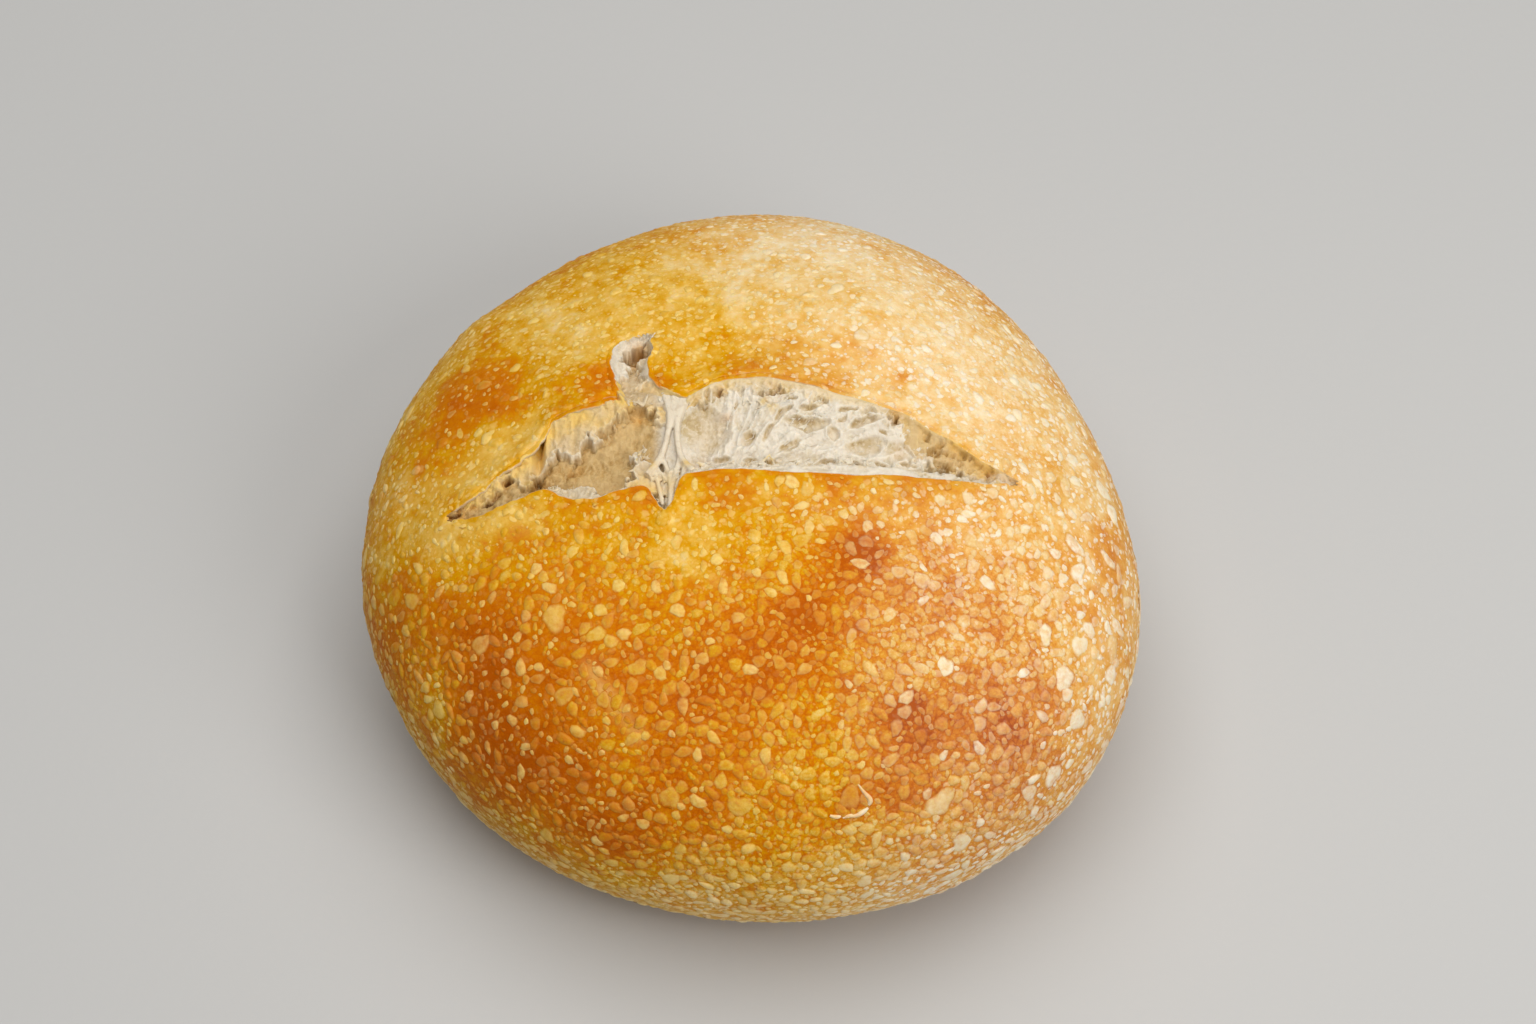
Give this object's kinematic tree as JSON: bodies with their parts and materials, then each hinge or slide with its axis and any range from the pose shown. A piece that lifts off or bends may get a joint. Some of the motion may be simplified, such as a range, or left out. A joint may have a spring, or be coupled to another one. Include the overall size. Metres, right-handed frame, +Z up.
{
  "type": "sourdough loaf",
  "caption": "Round hearth-baked sourdough loaf with a flat foot, a domed blistered crust and a torn slash across the top that shows pale crumb.",
  "frame": {"origin": "centre of the footprint's bounding box, on the surface that the loaf rests on", "axes": "+Z up, +X along the slash from its left tip to its right tip, -Y towards the side of the slash's lower front lip"},
  "size_m": [0.2, 0.1986, 0.0961],
  "materials": {
    "crust": "golden baked crust with small pale blisters and browned patches, satin sheen",
    "crumb": "pale cream open crumb, matt and slightly waxy"
  },
  "bodies": {
    "root": {"loaf": "crust"}
  },
  "joints": []
}
